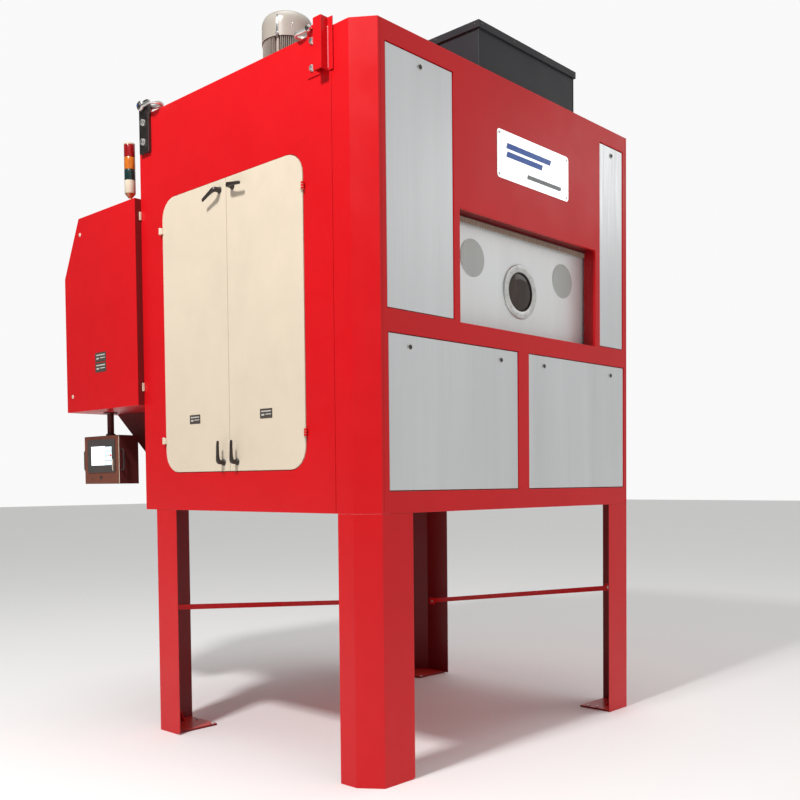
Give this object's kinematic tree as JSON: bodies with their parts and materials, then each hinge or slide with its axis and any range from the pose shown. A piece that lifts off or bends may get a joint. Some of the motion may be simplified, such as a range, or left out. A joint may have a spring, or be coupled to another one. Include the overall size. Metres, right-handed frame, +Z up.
{
  "type": "industrial tumble dryer",
  "caption": "Pass-through industrial tumble dryer cabinet on tall legs, with hinged service doors, sliding discharge door, loading hood, roof fan, duct and operator console.",
  "frame": {"origin": "on the floor, at the middle of the whole machine's footprint (hood, handles and shackles included)", "axes": "+Z up; +X to the right of a person who faces the discharge side; +Y from the discharge side towards the loading hood"},
  "size_m": [2.462, 2.8058, 4.063],
  "materials": {
    "red_paint": "gloss",
    "console_paint": "satin",
    "cream_paint": "satin",
    "stainless": "brushed",
    "polished_steel": "polished",
    "black_steel": "satin",
    "grey_aluminium": "satin",
    "smoked_glass": "clear",
    "screen_black": "gloss",
    "black_plastic": "matte",
    "cream_plastic": "gloss",
    "red_lens": "gloss",
    "amber_lens": "gloss",
    "green_lens": "gloss",
    "rubber": "matte",
    "filter_cloth": "matte"
  },
  "bodies": {
    "cabinet": {"leg_front_left": "red_paint", "leg_front_right": "red_paint", "leg_rear_left": "red_paint", "leg_rear_right": "red_paint", "tie_bar_rear": "red_paint", "tie_bar_right": "red_paint", "floor_pan": "red_paint", "corner_post_left": "red_paint", "corner_post_right": "red_paint", "front_fascia": "red_paint", "left_wall": "red_paint", "right_wall": "red_paint", "rear_wall": "red_paint", "roof_panel": "red_paint", "discharge_frame": "red_paint", "loading_hood": "red_paint", "loading_chute": "red_paint", "lifting_bracket": "red_paint", "pendant_tube": "console_paint", "front_panel_upper_left": "stainless", "front_panel_upper_right": "stainless", "front_panel_lower_left": "stainless", "front_panel_lower_right": "stainless", "name_plate": "polished_steel", "exhaust_duct": "black_steel", "lifting_plate": "black_steel", "drive_motor": "grey_aluminium", "heater_battery": "grey_aluminium", "door_cylinder": "grey_aluminium", "fan_motor": "grey_aluminium", "fan_cover": "grey_aluminium", "signal_base": "cream_plastic", "signal_lamp_red": "red_lens", "signal_lamp_amber": "amber_lens", "signal_lamp_green": "green_lens", "wiper_seal": "rubber", "lint_filter": "filter_cloth"},
    "rear_service_door": {"service_door_rear": "cream_paint"},
    "front_service_door": {"service_door_front": "cream_paint"},
    "rear_low_latch": {"latch_handle_rear_low": "black_plastic"},
    "front_low_latch": {"latch_handle_front_low": "black_plastic"},
    "rear_high_latch": {"latch_handle_rear_high": "black_plastic"},
    "front_high_latch": {"latch_handle_front_high": "black_plastic"},
    "sliding_door": {"discharge_door": "stainless", "porthole_ring": "stainless", "porthole_glass": "smoked_glass"},
    "drum": {"drum": "stainless"},
    "left_roller": {"drum_roller_left": "rubber"},
    "right_roller": {"drum_roller_right": "rubber"},
    "fan": {"fan_rotor": "stainless"},
    "console": {"console_box": "console_paint", "console_screen": "screen_black"},
    "rear_shackle": {"shackle_rear": "polished_steel"},
    "front_shackle": {"shackle_front": "polished_steel"},
    "lock_upper_left": {"panel_lock_upper_left": "polished_steel"},
    "lock_upper_right": {"panel_lock_upper_right": "polished_steel"},
    "lock_lower_left_a": {"panel_lock_lower_left_a": "polished_steel"},
    "lock_lower_left_b": {"panel_lock_lower_left_b": "polished_steel"},
    "lock_lower_right_a": {"panel_lock_lower_right_a": "polished_steel"},
    "lock_lower_right_b": {"panel_lock_lower_right_b": "polished_steel"}
  },
  "joints": [
    {"name": "rear_service_door_hinge", "type": "hinge", "parent": "cabinet", "child": "rear_service_door", "pos_m": [-1.18296, 0.28438, 2.2955], "axis": [0, 0, -1], "range_deg": [0, 110]},
    {"name": "front_service_door_hinge", "type": "hinge", "parent": "cabinet", "child": "front_service_door", "pos_m": [-1.18296, -0.96362, 2.2955], "axis": [0, 0, 1], "range_deg": [0, 110]},
    {"name": "rear_low_latch_turn", "type": "hinge", "parent": "rear_service_door", "child": "rear_low_latch", "pos_m": [-1.17426, -0.27762, 1.5665], "axis": [-1, 0, 0], "range_deg": [0, 90]},
    {"name": "front_low_latch_turn", "type": "hinge", "parent": "front_service_door", "child": "front_low_latch", "pos_m": [-1.17426, -0.39762, 1.5665], "axis": [1, 0, 0], "range_deg": [0, 90]},
    {"name": "rear_high_latch_turn", "type": "hinge", "parent": "rear_service_door", "child": "rear_high_latch", "pos_m": [-1.17426, -0.27762, 3.017], "axis": [-1, 0, 0], "range_deg": [-45, 45]},
    {"name": "front_high_latch_turn", "type": "hinge", "parent": "front_service_door", "child": "front_high_latch", "pos_m": [-1.17426, -0.39162, 3.015], "axis": [1, 0, 0], "range_deg": [0, 90]},
    {"name": "sliding_door_lift", "type": "slide", "parent": "cabinet", "child": "sliding_door", "axis": [0, 0, 1], "range_m": [0, 0.59]},
    {"name": "drum_spin", "type": "hinge", "parent": "cabinet", "child": "drum", "pos_m": [0.11804, -0.39762, 2.452], "axis": [0, 1, 0], "continuous": true},
    {"name": "left_roller_spin", "type": "hinge", "parent": "cabinet", "child": "left_roller", "pos_m": [-0.41051, -0.44762, 1.69715], "axis": [0, 1, 0], "continuous": true},
    {"name": "right_roller_spin", "type": "hinge", "parent": "cabinet", "child": "right_roller", "pos_m": [0.64659, -0.44762, 1.69715], "axis": [0, 1, 0], "continuous": true},
    {"name": "fan_spin", "type": "hinge", "parent": "cabinet", "child": "fan", "pos_m": [-0.73096, -0.32762, 3.5], "axis": [0, 0, 1], "continuous": true},
    {"name": "console_swivel", "type": "hinge", "parent": "cabinet", "child": "console", "pos_m": [-1.02346, 1.15238, 1.765], "axis": [0, 0, 1], "range_deg": [-75, 10]},
    {"name": "rear_shackle_swing", "type": "hinge", "parent": "cabinet", "child": "rear_shackle", "pos_m": [-1.18196, 0.42438, 3.637], "axis": [-1, 0, 0], "range_deg": [0, 165]},
    {"name": "front_shackle_swing", "type": "hinge", "parent": "cabinet", "child": "front_shackle", "pos_m": [-1.17496, -1.03262, 3.622], "axis": [1, 0, 0], "range_deg": [0, 100]},
    {"name": "lock_upper_left_turn", "type": "hinge", "parent": "cabinet", "child": "lock_upper_left", "pos_m": [-0.80196, -1.39492, 3.454], "axis": [0, 1, 0], "range_deg": [0, 90]},
    {"name": "lock_upper_right_turn", "type": "hinge", "parent": "cabinet", "child": "lock_upper_right", "pos_m": [0.93254, -1.39492, 3.449], "axis": [0, 1, 0], "range_deg": [0, 90]},
    {"name": "lock_lower_left_a_turn", "type": "hinge", "parent": "cabinet", "child": "lock_lower_left_a", "pos_m": [-0.88896, -1.39492, 2.101], "axis": [0, 1, 0], "range_deg": [0, 90]},
    {"name": "lock_lower_left_b_turn", "type": "hinge", "parent": "cabinet", "child": "lock_lower_left_b", "pos_m": [-0.17796, -1.39492, 2.101], "axis": [0, 1, 0], "range_deg": [0, 90]},
    {"name": "lock_lower_right_a_turn", "type": "hinge", "parent": "cabinet", "child": "lock_lower_right_a", "pos_m": [0.21704, -1.39492, 2.101], "axis": [0, 1, 0], "range_deg": [0, 90]},
    {"name": "lock_lower_right_b_turn", "type": "hinge", "parent": "cabinet", "child": "lock_lower_right_b", "pos_m": [0.92304, -1.39492, 2.101], "axis": [0, 1, 0], "range_deg": [0, 90]}
  ],
  "couplings": [
    {"joint": "left_roller_spin", "follows": "drum_spin", "ratio": -10.5},
    {"joint": "right_roller_spin", "follows": "drum_spin", "ratio": -10.5}
  ]
}
